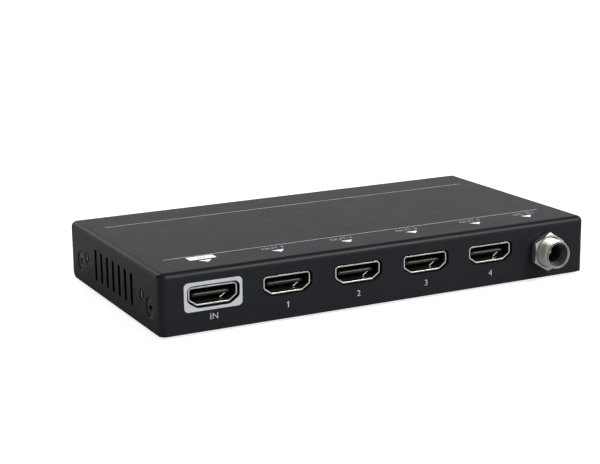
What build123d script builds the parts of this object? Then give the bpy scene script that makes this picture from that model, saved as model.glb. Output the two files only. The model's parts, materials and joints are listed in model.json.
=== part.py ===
from build123d import *
import os
from math import cos, radians, sin

# A video splitter: one input socket, four output sockets and a power jack in a folded steel case.
# Millimetres. X runs along the case, the sockets face -Y, the status lights face +Y and +Z is up.
# The origin is below the middle of the whole object, on the surface that it stands on.

# Case: a cover with the top, the socket panel and both sides, and a tray with the floor and the rear panel
case_length = 143.0
case_depth = 73.6
case_height = 17.8
sheet = 1.0
bend_radius = 1.8
corner_radius = 2.0
tray_bend_radius = 2.2
tray_gap = 0.25
seam_width = 0.2
relief_radius = 0.5
foot_height = 1.0
overrun = 4.0

# Power jack, first here because its reach sets the middle of the whole object
jack_reach = 6.9
jack_inset = 14.63
jack_axis_height = 8.42
barrel_radius = 4.5
barrel_nose_radius = 4.1
barrel_nose_length = 1.3
barrel_bore_radius = 3.6
barrel_mouth_chamfer = 0.15
barrel_flange_radius = 5.0
barrel_flange = 1.2
barrel_clearance = 0.15
jack_nut_flats = 10.6
jack_nut_thickness = 2.0
jack_washer_radius = 5.2
jack_washer_thickness = 0.3
jack_block_width = 9.8
jack_block_height = 9.2
jack_block_depth = 9.0
jack_liner_recess = 3.0
jack_liner_bore_radius = 2.85
jack_liner_clearance = 0.05
jack_pin_radius = 1.0
jack_pin_recess = 4.8
jack_bore_floor = 2.0
jack_spring_thickness = 0.25
jack_spring_length = 5.5
jack_spring_arc = 60.0
jack_lug_width = 2.2
jack_lug_thickness = 0.5
jack_lug_reach = 2.4

# Sockets: a standard nineteen-contact mouth, wide side up
first_socket_inset = 15.95
last_socket_inset = 35.05
socket_names = ["input", "output_1", "output_2", "output_3", "output_4"]
mouth_width = 14.0
mouth_height = 4.55
mouth_side = 3.0
mouth_floor = 9.5
mouth_corner = 0.7
socket_wall = 0.3
lip_wall = 0.44
lip_depth = 0.5
lip_round = 0.12
rim_recess = 0.6
rim_gap = 0.45
socket_depth = 11.6
insulator_thickness = 3.4
insulator_clearance = 0.06
tongue_width = 11.2
tongue_thickness = 1.0
tongue_drop = 0.15
tongue_recess = 1.6
tongue_chamfer = 0.25
leaf_start = 3.0
leaf_end = 6.4
leaf_lift = 0.5
leaf_thickness = 0.2
leaf_width = 1.8
leaf_spacing = 6.0
contact_width = 0.4
contact_thickness = 0.12
contact_pitch = 1.0
contact_start = 0.8
contact_end = 0.5
upper_contacts = 10
lower_contacts = 9
tail_width = 0.24
tail_length = 1.4
leg_width = 1.4
leg_below_board = 0.8
leg_clearance = 0.2
leg_depths = (2.9, 9.0)

# Circuit board, held above the tray floor on pillars
board_thickness = 1.6
board_side_gap = 5.0
board_front_gap = 1.2
board_rear_gap = 1.0
board_corner = 1.5
board_jack_gap = 0.4
pillar_height = 5.0
pillar_flats = 5.0
pillar_gap = 0.5
pillar_setback = 10.0
pillar_side_inset = 6.0
pillar_shank_radius = 2.1
board_screw_hole_radius = 1.7
film_thickness = 0.25
film_inset = 1.0
film_hole_gap = 0.6

# Screws and pressed nuts
thread_radius = 1.5
thread_gap = 0.03
tapping_radius = 1.25
pan_head_radius = 2.75
pan_head_height = 1.9
pan_head_round = 0.7
recess_radius = 0.9
recess_depth = 1.0
board_screw_length = 5.0
side_screw_length = 5.0
side_screw_head_radius = 2.7
side_screw_sink = 0.3
side_screw_clearance = 0.15
side_screw_inset = 7.8
countersink_angle = 45.0
side_screw_height = 6.7
collar_radius = 2.3
collar_length = 1.0
ear_hole_radius = 1.7
ear_hole_inset = 13.8
ear_hole_height = 9.0
press_nut_radius = 2.8
press_nut_thickness = 1.6
press_nut_shank_radius = 2.1
press_fit_gap = 0.02

# Tray tabs that carry the side screws and the pressed nuts
tab_margin = 4.25
tab_height = 13.0
tab_bend_radius = 1.6
tab_relief = 0.8
tab_corner = 1.0

# Vents in both sides
vent_count = 7
vent_width = 1.9
vent_floor_margin = 3.8
vent_top_margin = 4.3
ear_vent_gap = 8.0

# Feet
foot_radius = 4.0
foot_taper_angle = 15.0
foot_inset_x = 12.0
foot_inset_y = 11.0

# Status lights in the rear panel
light_count = 6
light_pitch = 8.0
first_light_inset = 14.5
light_radius = 1.5
light_flange_radius = 1.9
light_flange = 1.0
light_axis_rise = 2.9
light_window_gap = 0.15
light_body_length = 4.2
light_holder_width = 5.0
light_holder_depth = 4.6
light_holder_height = 5.2
light_holder_gap = 0.05
light_lead_width = 0.5
light_lead_spacing = 2.54

# Setting switch with four sliding levers, in a window of the rear panel
switch_inset = 23.0
switch_width = 11.0
switch_height = 5.4
switch_cover_depth = 1.4
switch_base_depth = 3.6
switch_face_recess = 1.0
switch_window_gap = 0.25
lever_count = 4
lever_pitch = 2.54
lever_travel = 1.6
lever_width = 1.2
lever_height = 1.2
lever_proud = 0.8
lever_gap = 0.12
lever_foot_width = 1.7
lever_foot_height = 1.8
lever_foot_depth = 1.2
terminal_width = 0.5
terminal_length = 2.2
terminal_thickness = 0.3

# Parts on the board
chip_lead_width = 0.35
chip_lead_length = 1.0
chip_lead_thickness = 0.3
chip_seat = 0.1
splitter_chip_size = 14.0
splitter_chip_height = 1.5
splitter_lead_count = 14
splitter_lead_pitch = 0.8
pad_size = 12.0
pad_thickness = 0.5
sink_size = 20.0
sink_top_gap = 1.1
sink_floor = 1.5
sink_fin = 1.0
sink_fin_count = 7
control_chip_size = 7.0
control_chip_height = 1.4
control_lead_count = 7
driver_size = 5.0
driver_height = 0.9
driver_setback = 9.0
surge_length = 2.5
surge_width = 1.2
surge_height = 0.6
surge_setback = 2.6
surge_spacing = 4.5
memory_length = 4.9
memory_width = 3.9
memory_height = 1.5
memory_lead_count = 4
memory_lead_pitch = 1.27
regulator_length = 6.5
regulator_width = 3.6
regulator_height = 1.7
inductor_size = 7.0
inductor_height = 3.4
inductor_corner = 1.6
can_radius = 3.15
can_height = 5.4
can_round = 0.5
can_base_size = 6.6
can_base_height = 0.6
crystal_length = 5.0
crystal_width = 3.2
crystal_height = 1.2
fuse_length = 4.6
fuse_width = 3.0
fuse_height = 1.4
fuse_gap = 3.0
small_part_length = 1.6
small_part_width = 0.8
capacitor_height = 0.8
resistor_height = 0.45
small_part_pitch = 2.4
small_part_count = 12

# Places on the free middle of the board, as shares of its half width and of its depth
splitter_place_share = (-0.12, 0.42)
control_place_share = (0.38, 0.7)
memory_place_shares = ((-0.52, 0.6), (-0.52, 0.3))
regulator_place_shares = ((0.61, 0.44), (0.61, 0.66))
inductor_place_shares = ((0.8, 0.15), (0.8, 0.52))
can_place_shares = ((0.84, 0.85), (0.635, 0.17), (-0.83, 0.52))
crystal_place_shares = ((0.18, 0.7), (-0.37, 0.44))
capacitor_row_share = (-0.12, 0.86)
resistor_row_share = (-0.12, 0.955)

on_floor = (Align.CENTER, Align.CENTER, Align.MIN)

# Places that the pieces share
case_y = jack_reach / 2
floor_z = foot_height
case_top = floor_z + case_height
side_x = case_length / 2
panel_y = case_y - case_depth / 2
panel_inner_y = panel_y + sheet
rear_y = case_y + case_depth / 2
rear_inner_y = rear_y - sheet
tray_side = side_x - sheet - tray_gap
tray_front_y = panel_inner_y + tray_gap
tray_top = floor_z + sheet
board_bottom = tray_top + pillar_height
board_top = board_bottom + board_thickness
board_side = tray_side - board_side_gap
board_front_y = panel_inner_y + board_front_gap
board_rear_y = rear_inner_y - board_rear_gap
board_y = (board_front_y + board_rear_y) / 2
rim_y = panel_y + rim_recess
socket_z = board_top + socket_wall + mouth_height / 2
jack_x = side_x - jack_inset
jack_z = floor_z + jack_axis_height
jack_front_y = panel_y - jack_reach
socket_row = case_length - first_socket_inset - last_socket_inset
socket_pitch = socket_row / (len(socket_names) - 1)
socket_xs = [first_socket_inset - side_x + socket_pitch * i for i in range(len(socket_names))]
tail_end_y = rim_y + socket_depth + tail_length
screw_ys = [panel_y + side_screw_inset, rear_y - side_screw_inset]
ear_ys = [panel_y + ear_hole_inset, rear_y - ear_hole_inset]
vent_pitch = (ear_ys[1] - ear_ys[0] - 2 * ear_vent_gap) / (vent_count - 1)
vent_length = case_height - vent_floor_margin - vent_top_margin
vent_z = floor_z + vent_floor_margin + vent_length / 2
side_screw_z = floor_z + side_screw_height
countersink_radius = side_screw_head_radius + side_screw_sink + side_screw_clearance
countersink_depth = side_screw_head_radius + side_screw_sink - thread_radius
ear_hole_z = floor_z + ear_hole_height
light_xs = [side_x - first_light_inset - light_pitch * i for i in range(light_count)]
light_z = board_top + light_axis_rise
switch_x = switch_inset - side_x
switch_z = board_top + switch_height / 2
switch_face_y = rear_y - switch_face_recess
# Lever 1 is on the left of a reader who faces the rear panel
lever_xs = [switch_x - lever_pitch * (i - (lever_count - 1) / 2) for i in range(lever_count)]
lever_z = switch_z - lever_travel / 2
first_gap_x = (socket_xs[0] + socket_xs[1]) / 2
last_gap_x = (socket_xs[-1] + mouth_width / 2 + jack_x - jack_block_width / 2) / 2
pillar_front_y = tail_end_y + pan_head_radius + pillar_gap
pillar_rear_y = board_rear_y - pillar_setback
pillar_places = [
    (first_gap_x, pillar_front_y),
    (last_gap_x, pillar_front_y),
    (-board_side + pillar_side_inset, pillar_rear_y),
    (0, pillar_rear_y),
    (board_side - pillar_side_inset, pillar_rear_y),
]
driver_y = tail_end_y + driver_setback
field_front_y = driver_y + driver_size / 2
field_rear_y = pillar_rear_y - pan_head_radius
foot_places = [
    (x, y)
    for x in (foot_inset_x - side_x, side_x - foot_inset_x)
    for y in (panel_y + foot_inset_y, rear_y - foot_inset_y)
]
front_plane = Plane.XZ.offset(-panel_y)
rear_plane = Plane.XZ.offset(-rear_y)

os.makedirs("parts", exist_ok=True)


# The mouth of a socket, grown outwards by one wall: straight sides, then slants down to a narrower floor
def mouth_shape(plane, x, growth):
    half, drop = mouth_width / 2, mouth_height / 2
    with BuildSketch(plane) as shape:
        with BuildLine():
            Polyline(
                (x - half, socket_z + drop),
                (x + half, socket_z + drop),
                (x + half, socket_z + drop - mouth_side),
                (x + mouth_floor / 2, socket_z - drop),
                (x - mouth_floor / 2, socket_z - drop),
                (x - half, socket_z + drop - mouth_side),
                close=True,
            )
        make_face()
        fillet(shape.vertices(), mouth_corner)
        if growth != 0:
            offset(amount=growth, mode=Mode.REPLACE)
    return shape.sketch


# A plane across the case, square to Y
def plane_at(y):
    return Plane.XZ.offset(-y)


# A place on the free middle of the board
def board_place(share):
    return share[0] * board_side, field_front_y + share[1] * (field_rear_y - field_front_y)


# Cover
with BuildPart() as cavity:
    with BuildSketch(Plane.XY.offset(floor_z - overrun)) as cavity_outline:
        with Locations((0, (panel_inner_y + rear_y + overrun) / 2)):
            Rectangle(case_length - 2 * sheet, rear_y + overrun - panel_inner_y)
        fillet(cavity_outline.vertices().group_by(Axis.Y)[0], corner_radius - sheet)
    extrude(amount=case_height - sheet + overrun)
    inner_edges = cavity.faces().sort_by(Axis.Z)[-1].edges()
    fillet(inner_edges.sort_by(Axis.Y)[:-1], bend_radius - sheet)

with BuildPart() as top_cover:
    with BuildSketch(Plane.XY.offset(floor_z)) as cover_outline:
        with Locations((0, case_y)):
            Rectangle(case_length, case_depth)
        fillet(cover_outline.vertices().group_by(Axis.Y)[0], corner_radius)
    extrude(amount=case_height)
    outer_edges = top_cover.faces().sort_by(Axis.Z)[-1].edges()
    fillet(outer_edges.sort_by(Axis.Y)[:-1], bend_radius)
    add(cavity.part, mode=Mode.SUBTRACT)
    # The lower rear corner of each side follows the bend of the tray
    flange_ends = top_cover.edges().filter_by(Axis.X).group_by(Axis.Z)[0].group_by(Axis.Y)[-1]
    fillet(flange_ends, tray_bend_radius)
    # Socket windows and the hole for the jack
    for x in socket_xs:
        extrude(mouth_shape(front_plane, x, lip_wall + rim_gap), amount=-overrun, mode=Mode.SUBTRACT)
    with BuildSketch(front_plane):
        with Locations((jack_x, jack_z)):
            Circle(barrel_radius + barrel_clearance)
    extrude(amount=-overrun, mode=Mode.SUBTRACT)
    for side in (-1, 1):
        outer_face = Plane.YZ.offset(side * side_x)
        # Vents and the holes for mounting ears
        with BuildSketch(outer_face):
            with Locations((case_y, vent_z)):
                with GridLocations(vent_pitch, vent_pitch, vent_count, 1):
                    SlotOverall(vent_length, vent_width, rotation=90)
            with Locations(*[(y, ear_hole_z) for y in ear_ys]):
                Circle(ear_hole_radius)
        extrude(amount=-side * overrun, mode=Mode.SUBTRACT)
        # Countersinks for the side screws
        with BuildSketch(outer_face):
            with Locations(*[(y, side_screw_z) for y in screw_ys]):
                Circle(countersink_radius)
        extrude(amount=-side * countersink_depth, taper=countersink_angle, mode=Mode.SUBTRACT)
        # Seam where the wrapped corner of the socket panel meets the side, with its relief hole
        seam_y = panel_y + corner_radius + seam_width / 2
        seam_top = case_top - bend_radius / 2
        with BuildSketch(outer_face):
            with Locations((seam_y, (floor_z - overrun + seam_top) / 2)):
                Rectangle(seam_width, seam_top - floor_z + overrun)
            with Locations((seam_y, seam_top)):
                Circle(relief_radius)
        extrude(amount=-side * (sheet + bend_radius) / 2, mode=Mode.SUBTRACT)
top_cover.part.label = "top_cover"
export_step(top_cover.part, "parts/top_cover.step")

# Tray: floor and rear panel in one bend, with two upturned tabs on each side
tab_leg = tab_bend_radius + sheet
tab_width = ear_hole_inset - side_screw_inset + 2 * tab_margin
tab_ys = [(screw_ys[0] + ear_ys[0]) / 2, (screw_ys[1] + ear_ys[1]) / 2]
with BuildPart() as base_tray:
    with BuildSketch(Plane.YZ.offset(-tray_side)) as tray_profile:
        with BuildLine():
            Polyline(
                (tray_front_y, floor_z),
                (rear_y, floor_z),
                (rear_y, case_top - sheet - tray_gap),
                (rear_inner_y, case_top - sheet - tray_gap),
                (rear_inner_y, tray_top),
                (tray_front_y, tray_top),
                close=True,
            )
        make_face()
        corners = tray_profile.vertices()
        fillet(corners.sort_by_distance((rear_y, floor_z, 0))[0], tray_bend_radius)
        fillet(corners.sort_by_distance((rear_inner_y, tray_top, 0))[0], tray_bend_radius - sheet)
    extrude(amount=2 * tray_side)
    for side in (-1, 1):
        # Room for the bends of the tabs
        with BuildSketch(Plane.XY.offset(floor_z)):
            with Locations(*[(side * (tray_side - tab_leg / 2), y) for y in tab_ys]):
                Rectangle(tab_leg, tab_width + 2 * tab_relief)
        extrude(amount=overrun, mode=Mode.SUBTRACT)
        for y in tab_ys:
            with BuildSketch(plane_at(y - tab_width / 2)) as tab_profile:
                with BuildLine():
                    Polyline(
                        (side * (tray_side - tab_leg), floor_z),
                        (side * tray_side, floor_z),
                        (side * tray_side, floor_z + tab_height),
                        (side * (tray_side - sheet), floor_z + tab_height),
                        (side * (tray_side - sheet), tray_top),
                        (side * (tray_side - tab_leg), tray_top),
                        close=True,
                    )
                make_face()
                bends = tab_profile.vertices()
                fillet(bends.sort_by_distance((side * tray_side, floor_z, 0))[0], tab_bend_radius)
                inner_bend = (side * (tray_side - sheet), tray_top, 0)
                fillet(bends.sort_by_distance(inner_bend)[0], tab_bend_radius - sheet)
            extrude(amount=-tab_width)
        # Drawn collars that the side screws bite into
        with BuildSketch(Plane.YZ.offset(side * (tray_side - sheet))):
            with Locations(*[(y, side_screw_z) for y in screw_ys]):
                Circle(collar_radius)
        extrude(amount=-side * collar_length)
        with BuildSketch(Plane.YZ.offset(side * tray_side)):
            with Locations(*[(y, side_screw_z) for y in screw_ys]):
                Circle(thread_radius + thread_gap)
            with Locations(*[(y, ear_hole_z) for y in ear_ys]):
                Circle(press_nut_shank_radius + press_fit_gap)
        extrude(amount=-side * overrun, mode=Mode.SUBTRACT)
        # The tip of each countersunk head reaches into the tab
        with BuildSketch(Plane.YZ.offset(side * side_x)):
            with Locations(*[(y, side_screw_z) for y in screw_ys]):
                Circle(countersink_radius)
        extrude(amount=-side * countersink_depth, taper=countersink_angle, mode=Mode.SUBTRACT)
    # Rounded tops of the tabs
    tab_tops = base_tray.edges().filter_by(Axis.X)
    fillet(tab_tops.filter_by_position(Axis.Z, floor_z + tab_height, floor_z + tab_height), tab_corner)
    # Seats of the pillars
    with BuildSketch(Plane.XY.offset(floor_z)):
        with Locations(*pillar_places):
            Circle(pillar_shank_radius + press_fit_gap)
    extrude(amount=sheet, mode=Mode.SUBTRACT)
    # Windows for the lights and the setting switch
    with BuildSketch(rear_plane):
        with Locations(*[(x, light_z) for x in light_xs]):
            Circle(light_radius + light_window_gap)
        with Locations((switch_x, switch_z)):
            Rectangle(switch_width + 2 * switch_window_gap, switch_height + 2 * switch_window_gap)
    extrude(amount=overrun, mode=Mode.SUBTRACT)
base_tray.part.label = "base_tray"
export_step(base_tray.part, "parts/base_tray.step")

with BuildPart() as rubber_feet:
    with BuildSketch(Plane.XY.offset(floor_z)):
        with Locations(*foot_places):
            Circle(foot_radius)
    extrude(amount=-foot_height, taper=foot_taper_angle)
rubber_feet.part.label = "rubber_feet"
export_step(rubber_feet.part, "parts/rubber_feet.step")

# Nuts pressed into the tabs, where the mounting ears are screwed on
with BuildPart() as press_nuts:
    for side in (-1, 1):
        with BuildSketch(Plane.YZ.offset(side * (tray_side - sheet))):
            with Locations(*[(y, ear_hole_z) for y in ear_ys]):
                Circle(press_nut_radius)
        extrude(amount=-side * press_nut_thickness)
        with BuildSketch(Plane.YZ.offset(side * (tray_side - sheet))):
            with Locations(*[(y, ear_hole_z) for y in ear_ys]):
                Circle(press_nut_shank_radius)
        extrude(amount=side * sheet)
        with BuildSketch(Plane.YZ.offset(side * tray_side)):
            with Locations(*[(y, ear_hole_z) for y in ear_ys]):
                Circle(tapping_radius)
        extrude(amount=-side * overrun, mode=Mode.SUBTRACT)
press_nuts.part.label = "press_nuts"
export_step(press_nuts.part, "parts/press_nuts.step")

# Countersunk screws through the sides into the collars
with BuildPart() as side_screws:
    for side in (-1, 1):
        head_face = side_x - side_screw_sink
        places = [(y, side_screw_z) for y in screw_ys]
        with BuildSketch(Plane.YZ.offset(side * head_face)):
            with Locations(*places):
                Circle(side_screw_head_radius)
        extrude(amount=-side * (side_screw_head_radius - thread_radius), taper=countersink_angle)
        with BuildSketch(Plane.YZ.offset(side * head_face)):
            with Locations(*places):
                Circle(thread_radius)
        extrude(amount=-side * side_screw_length)
        with BuildSketch(Plane.YZ.offset(side * head_face)):
            with Locations(*places):
                Rectangle(2 * recess_radius, recess_radius / 2)
                Rectangle(recess_radius / 2, 2 * recess_radius)
        extrude(amount=-side * recess_depth, mode=Mode.SUBTRACT)
side_screws.part.label = "side_screws"
export_step(side_screws.part, "parts/side_screws.step")

# Hexagonal pillars pressed into the tray floor
with BuildPart() as board_pillars:
    with BuildSketch(Plane.XY.offset(tray_top)):
        with Locations(*pillar_places):
            RegularPolygon(pillar_flats / 2, 6, major_radius=False)
    extrude(amount=pillar_height)
    with BuildSketch(Plane.XY.offset(floor_z)):
        with Locations(*pillar_places):
            Circle(pillar_shank_radius)
    extrude(amount=sheet)
    with BuildSketch(Plane.XY.offset(tray_top)):
        with Locations(*pillar_places):
            Circle(thread_radius + thread_gap)
    extrude(amount=pillar_height, mode=Mode.SUBTRACT)
board_pillars.part.label = "board_pillars"
export_step(board_pillars.part, "parts/board_pillars.step")

with BuildPart() as board_screws:
    with BuildSketch(Plane.XY.offset(board_top)):
        with Locations(*pillar_places):
            Circle(pan_head_radius)
    extrude(amount=pan_head_height)
    fillet(board_screws.edges().group_by(Axis.Z)[-1], pan_head_round)
    with BuildSketch(Plane.XY.offset(board_top)):
        with Locations(*pillar_places):
            Circle(thread_radius)
    extrude(amount=-board_screw_length)
    with BuildSketch(Plane.XY.offset(board_top + pan_head_height)):
        with Locations(*pillar_places):
            Rectangle(2 * recess_radius, recess_radius / 2)
            Rectangle(recess_radius / 2, 2 * recess_radius)
    extrude(amount=-recess_depth, mode=Mode.SUBTRACT)
board_screws.part.label = "board_screws"
export_step(board_screws.part, "parts/board_screws.step")

# Circuit board, cut away round the jack
notch_width = jack_block_width + 2 * board_jack_gap
notch_rear_y = panel_inner_y + barrel_flange + jack_block_depth + board_jack_gap
leg_xs = [x + side * (mouth_width + socket_wall) / 2 for x in socket_xs for side in (-1, 1)]
leg_places = [(x, rim_y + depth) for x in leg_xs for depth in leg_depths]
with BuildPart() as main_board:
    with BuildSketch(Plane.XY.offset(board_bottom)) as board_outline:
        with Locations((0, board_y)):
            Rectangle(2 * board_side, board_rear_y - board_front_y)
        fillet(board_outline.vertices(), board_corner)
        with Locations((jack_x, (board_front_y - overrun + notch_rear_y) / 2)):
            Rectangle(notch_width, notch_rear_y - board_front_y + overrun, mode=Mode.SUBTRACT)
        with Locations(*pillar_places):
            Circle(board_screw_hole_radius, mode=Mode.SUBTRACT)
        with Locations(*leg_places):
            Rectangle(socket_wall + 2 * leg_clearance, leg_width + 2 * leg_clearance, mode=Mode.SUBTRACT)
    extrude(amount=board_thickness)
main_board.part.label = "main_board"
export_step(main_board.part, "parts/main_board.step")

# Insulating film on the tray floor, under the board
with BuildPart() as insulating_film:
    with BuildSketch(Plane.XY.offset(tray_top)):
        with Locations((0, board_y)):
            Rectangle(2 * (board_side - film_inset), board_rear_y - board_front_y - 2 * film_inset)
        with Locations(*pillar_places):
            Circle(pillar_flats / 2 + film_hole_gap, mode=Mode.SUBTRACT)
    extrude(amount=film_thickness)
insulating_film.part.label = "insulating_film"
export_step(insulating_film.part, "parts/insulating_film.step")

# Profile of one spring leaf: it leaves the wall behind the lip and leans into the mouth
leaf_points = [
    (leaf_start - leaf_thickness, -leaf_thickness),
    (leaf_end, leaf_lift - leaf_thickness),
    (leaf_end, leaf_lift),
    (leaf_start - leaf_thickness, 0),
]
slant_run = (mouth_width - mouth_floor) / 2
slant_rise = mouth_height - mouth_side
slant_x = (mouth_width + mouth_floor) / 4
slant_z = socket_z - mouth_height / 2 + slant_rise / 2

# Each socket: a drawn shell with spring leaves and legs, a tongue and its contacts
for socket_name, x in zip(socket_names, socket_xs):
    with BuildPart() as socket_shell:
        extrude(mouth_shape(plane_at(rim_y), x, socket_wall), amount=-socket_depth)
        extrude(mouth_shape(plane_at(rim_y), x, lip_wall), amount=-lip_depth)
        extrude(mouth_shape(plane_at(rim_y), x, 0), amount=-socket_depth, mode=Mode.SUBTRACT)
        fillet(socket_shell.faces().sort_by(Axis.Y)[0].edges(), lip_round)
        roof_z = socket_z + mouth_height / 2
        ground_z = socket_z - mouth_height / 2
        leaf_planes = [
            Plane((x + side * leaf_spacing / 2, rim_y, roof_z), x_dir=(0, 1, 0), z_dir=(-1, 0, 0))
            for side in (-1, 1)
        ]
        leaf_planes += [
            Plane((x + side * leaf_spacing / 2, rim_y, ground_z), x_dir=(0, 1, 0), z_dir=(1, 0, 0))
            for side in (-1, 1)
        ]
        leaf_planes += [
            Plane((x - slant_x, rim_y, slant_z), x_dir=(0, 1, 0), z_dir=(slant_run, 0, -slant_rise)),
            Plane((x + slant_x, rim_y, slant_z), x_dir=(0, 1, 0), z_dir=(slant_run, 0, slant_rise)),
        ]
        for leaf_plane in leaf_planes:
            with BuildSketch(leaf_plane):
                with BuildLine():
                    Polyline(*leaf_points, close=True)
                make_face()
            extrude(amount=leaf_width / 2, both=True)
        leg_height = socket_z - board_bottom + leg_below_board
        for side in (-1, 1):
            for depth in leg_depths:
                leg_x = x + side * (mouth_width + socket_wall) / 2
                with Locations((leg_x, rim_y + depth, board_bottom - leg_below_board)):
                    Box(socket_wall, leg_width, leg_height, align=on_floor)
    socket_shell.part.label = f"{socket_name}_shell"
    export_step(socket_shell.part, f"parts/{socket_name}_shell.step")

    root_y = rim_y + socket_depth - insulator_thickness
    tongue_y = rim_y + tongue_recess
    tongue_z = socket_z - tongue_drop
    with BuildPart() as socket_tongue:
        with Locations((x, (tongue_y + root_y) / 2, tongue_z)):
            Box(tongue_width, root_y - tongue_y, tongue_thickness)
        chamfer(socket_tongue.faces().sort_by(Axis.Y)[0].edges().filter_by(Axis.X), tongue_chamfer)
        extrude(mouth_shape(plane_at(root_y), x, -insulator_clearance), amount=-insulator_thickness)
    socket_tongue.part.label = f"{socket_name}_tongue"
    export_step(socket_tongue.part, f"parts/{socket_name}_tongue.step")

    contact_y = tongue_y + contact_start
    contact_length = root_y - contact_y - contact_end
    contact_middle = contact_y + contact_length / 2
    contact_rise = (tongue_thickness + contact_thickness) / 2
    tail_y = rim_y + socket_depth + tail_length / 2
    with BuildPart() as socket_contacts:
        with Locations((x, contact_middle, tongue_z + contact_rise)):
            with GridLocations(contact_pitch, contact_pitch, upper_contacts, 1):
                Box(contact_width, contact_length, contact_thickness)
        with Locations((x, contact_middle, tongue_z - contact_rise)):
            with GridLocations(contact_pitch, contact_pitch, lower_contacts, 1):
                Box(contact_width, contact_length, contact_thickness)
        with Locations((x, tail_y, board_top)):
            with GridLocations(contact_pitch / 2, contact_pitch, upper_contacts + lower_contacts, 1):
                Box(tail_width, tail_length, socket_wall + mouth_corner, align=on_floor)
    socket_contacts.part.label = f"{socket_name}_contacts"
    export_step(socket_contacts.part, f"parts/{socket_name}_contacts.step")

# Power jack: a threaded barrel that a hexagonal nut draws against the socket panel
barrel_length = jack_reach + sheet
barrel_end = barrel_length + barrel_flange
with BuildPart() as jack_barrel:
    with BuildSketch(Plane((jack_x, jack_front_y, jack_z))):
        with BuildLine():
            Polyline(
                (barrel_bore_radius + barrel_mouth_chamfer, 0),
                (barrel_nose_radius, 0),
                (barrel_radius, barrel_nose_length),
                (barrel_radius, barrel_length),
                (barrel_flange_radius, barrel_length),
                (barrel_flange_radius, barrel_end),
                (barrel_bore_radius, barrel_end),
                (barrel_bore_radius, barrel_mouth_chamfer),
                close=True,
            )
        make_face()
    revolve(axis=Axis((jack_x, jack_front_y, jack_z), (0, 1, 0)))
jack_barrel.part.label = "jack_barrel"
export_step(jack_barrel.part, "parts/jack_barrel.step")

with BuildPart() as jack_washer:
    with BuildSketch(front_plane):
        with Locations((jack_x, jack_z)):
            Circle(jack_washer_radius)
            Circle(barrel_radius + barrel_clearance, mode=Mode.SUBTRACT)
    extrude(amount=jack_washer_thickness)
jack_washer.part.label = "jack_washer"
export_step(jack_washer.part, "parts/jack_washer.step")

nut_corner_radius = jack_nut_flats / 2 / cos(radians(30))
nut_back_y = panel_y - jack_washer_thickness
with BuildPart() as nut_blank:
    with BuildSketch(plane_at(nut_back_y)):
        with Locations((jack_x, jack_z)):
            Circle(nut_corner_radius)
    extrude(amount=jack_nut_thickness)
    nut_chamfer = nut_corner_radius - jack_nut_flats / 2
    chamfer(nut_blank.edges().group_by(Axis.Y)[0], nut_chamfer / 2, nut_chamfer)

with BuildPart() as jack_nut:
    with BuildSketch(plane_at(nut_back_y)):
        with Locations((jack_x, jack_z)):
            RegularPolygon(nut_corner_radius, 6, rotation=30)
            Circle(barrel_radius + thread_gap, mode=Mode.SUBTRACT)
    extrude(amount=jack_nut_thickness)
    add(nut_blank.part, mode=Mode.INTERSECT)
jack_nut.part.label = "jack_nut"
export_step(jack_nut.part, "parts/jack_nut.step")

block_y = panel_inner_y + barrel_flange
liner_y = jack_front_y + jack_liner_recess
with BuildPart() as jack_housing:
    with BuildSketch(plane_at(block_y)) as block_outline:
        with Locations((jack_x, jack_z)):
            Rectangle(jack_block_width, jack_block_height)
        fillet(block_outline.vertices(), mouth_corner)
    extrude(amount=-jack_block_depth)
    with BuildSketch(plane_at(liner_y)):
        with Locations((jack_x, jack_z)):
            Circle(barrel_bore_radius - jack_liner_clearance)
    extrude(amount=-(block_y - liner_y))
    bore_length = block_y + jack_block_depth - jack_bore_floor - liner_y
    with BuildSketch(plane_at(liner_y)):
        with Locations((jack_x, jack_z)):
            Circle(jack_liner_bore_radius)
    extrude(amount=-bore_length, mode=Mode.SUBTRACT)
    with BuildSketch(plane_at(liner_y + bore_length)):
        with Locations((jack_x, jack_z)):
            Circle(jack_pin_radius)
    extrude(amount=-jack_bore_floor, mode=Mode.SUBTRACT)
jack_housing.part.label = "jack_housing"
export_step(jack_housing.part, "parts/jack_housing.step")

with BuildPart() as jack_pin:
    with BuildSketch(plane_at(jack_front_y + jack_pin_recess)):
        with Locations((jack_x, jack_z)):
            Circle(jack_pin_radius)
    extrude(amount=-(block_y + jack_block_depth - jack_front_y - jack_pin_recess))
    fillet(jack_pin.edges().group_by(Axis.Y)[0], jack_pin_radius / 2)
jack_pin.part.label = "jack_pin"
export_step(jack_pin.part, "parts/jack_pin.step")

# Bowed contact that presses on the plug's sleeve, on the -X side of the bore
spring_outer = jack_liner_bore_radius
spring_inner = jack_liner_bore_radius - jack_spring_thickness
half_arc = jack_spring_arc / 2
with BuildPart() as jack_spring:
    with BuildSketch(plane_at(liner_y + jack_spring_length / 2)) as spring_outline:
        with BuildLine():
            outer_arc = CenterArc((jack_x, jack_z), spring_outer, 180 - half_arc, jack_spring_arc)
            inner_arc = CenterArc((jack_x, jack_z), spring_inner, 180 - half_arc, jack_spring_arc)
            Line(outer_arc @ 0, inner_arc @ 0)
            Line(outer_arc @ 1, inner_arc @ 1)
        make_face()
    extrude(amount=-jack_spring_length)
jack_spring.part.label = "jack_spring"
export_step(jack_spring.part, "parts/jack_spring.step")

# Solder lugs from both flanks and the rear of the housing onto the board
lug_y = block_y + jack_block_depth / 2
lug_rise = board_top + jack_lug_thickness / 2
with BuildPart() as jack_lugs:
    for side in (-1, 1):
        with Locations((jack_x + side * (jack_block_width + jack_lug_reach) / 2, lug_y, lug_rise)):
            Box(jack_lug_reach, jack_lug_width, jack_lug_thickness)
    with Locations((jack_x, block_y + jack_block_depth + jack_lug_reach / 2, lug_rise)):
        Box(jack_lug_width, jack_lug_reach, jack_lug_thickness)
jack_lugs.part.label = "jack_lugs"
export_step(jack_lugs.part, "parts/jack_lugs.step")

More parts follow.
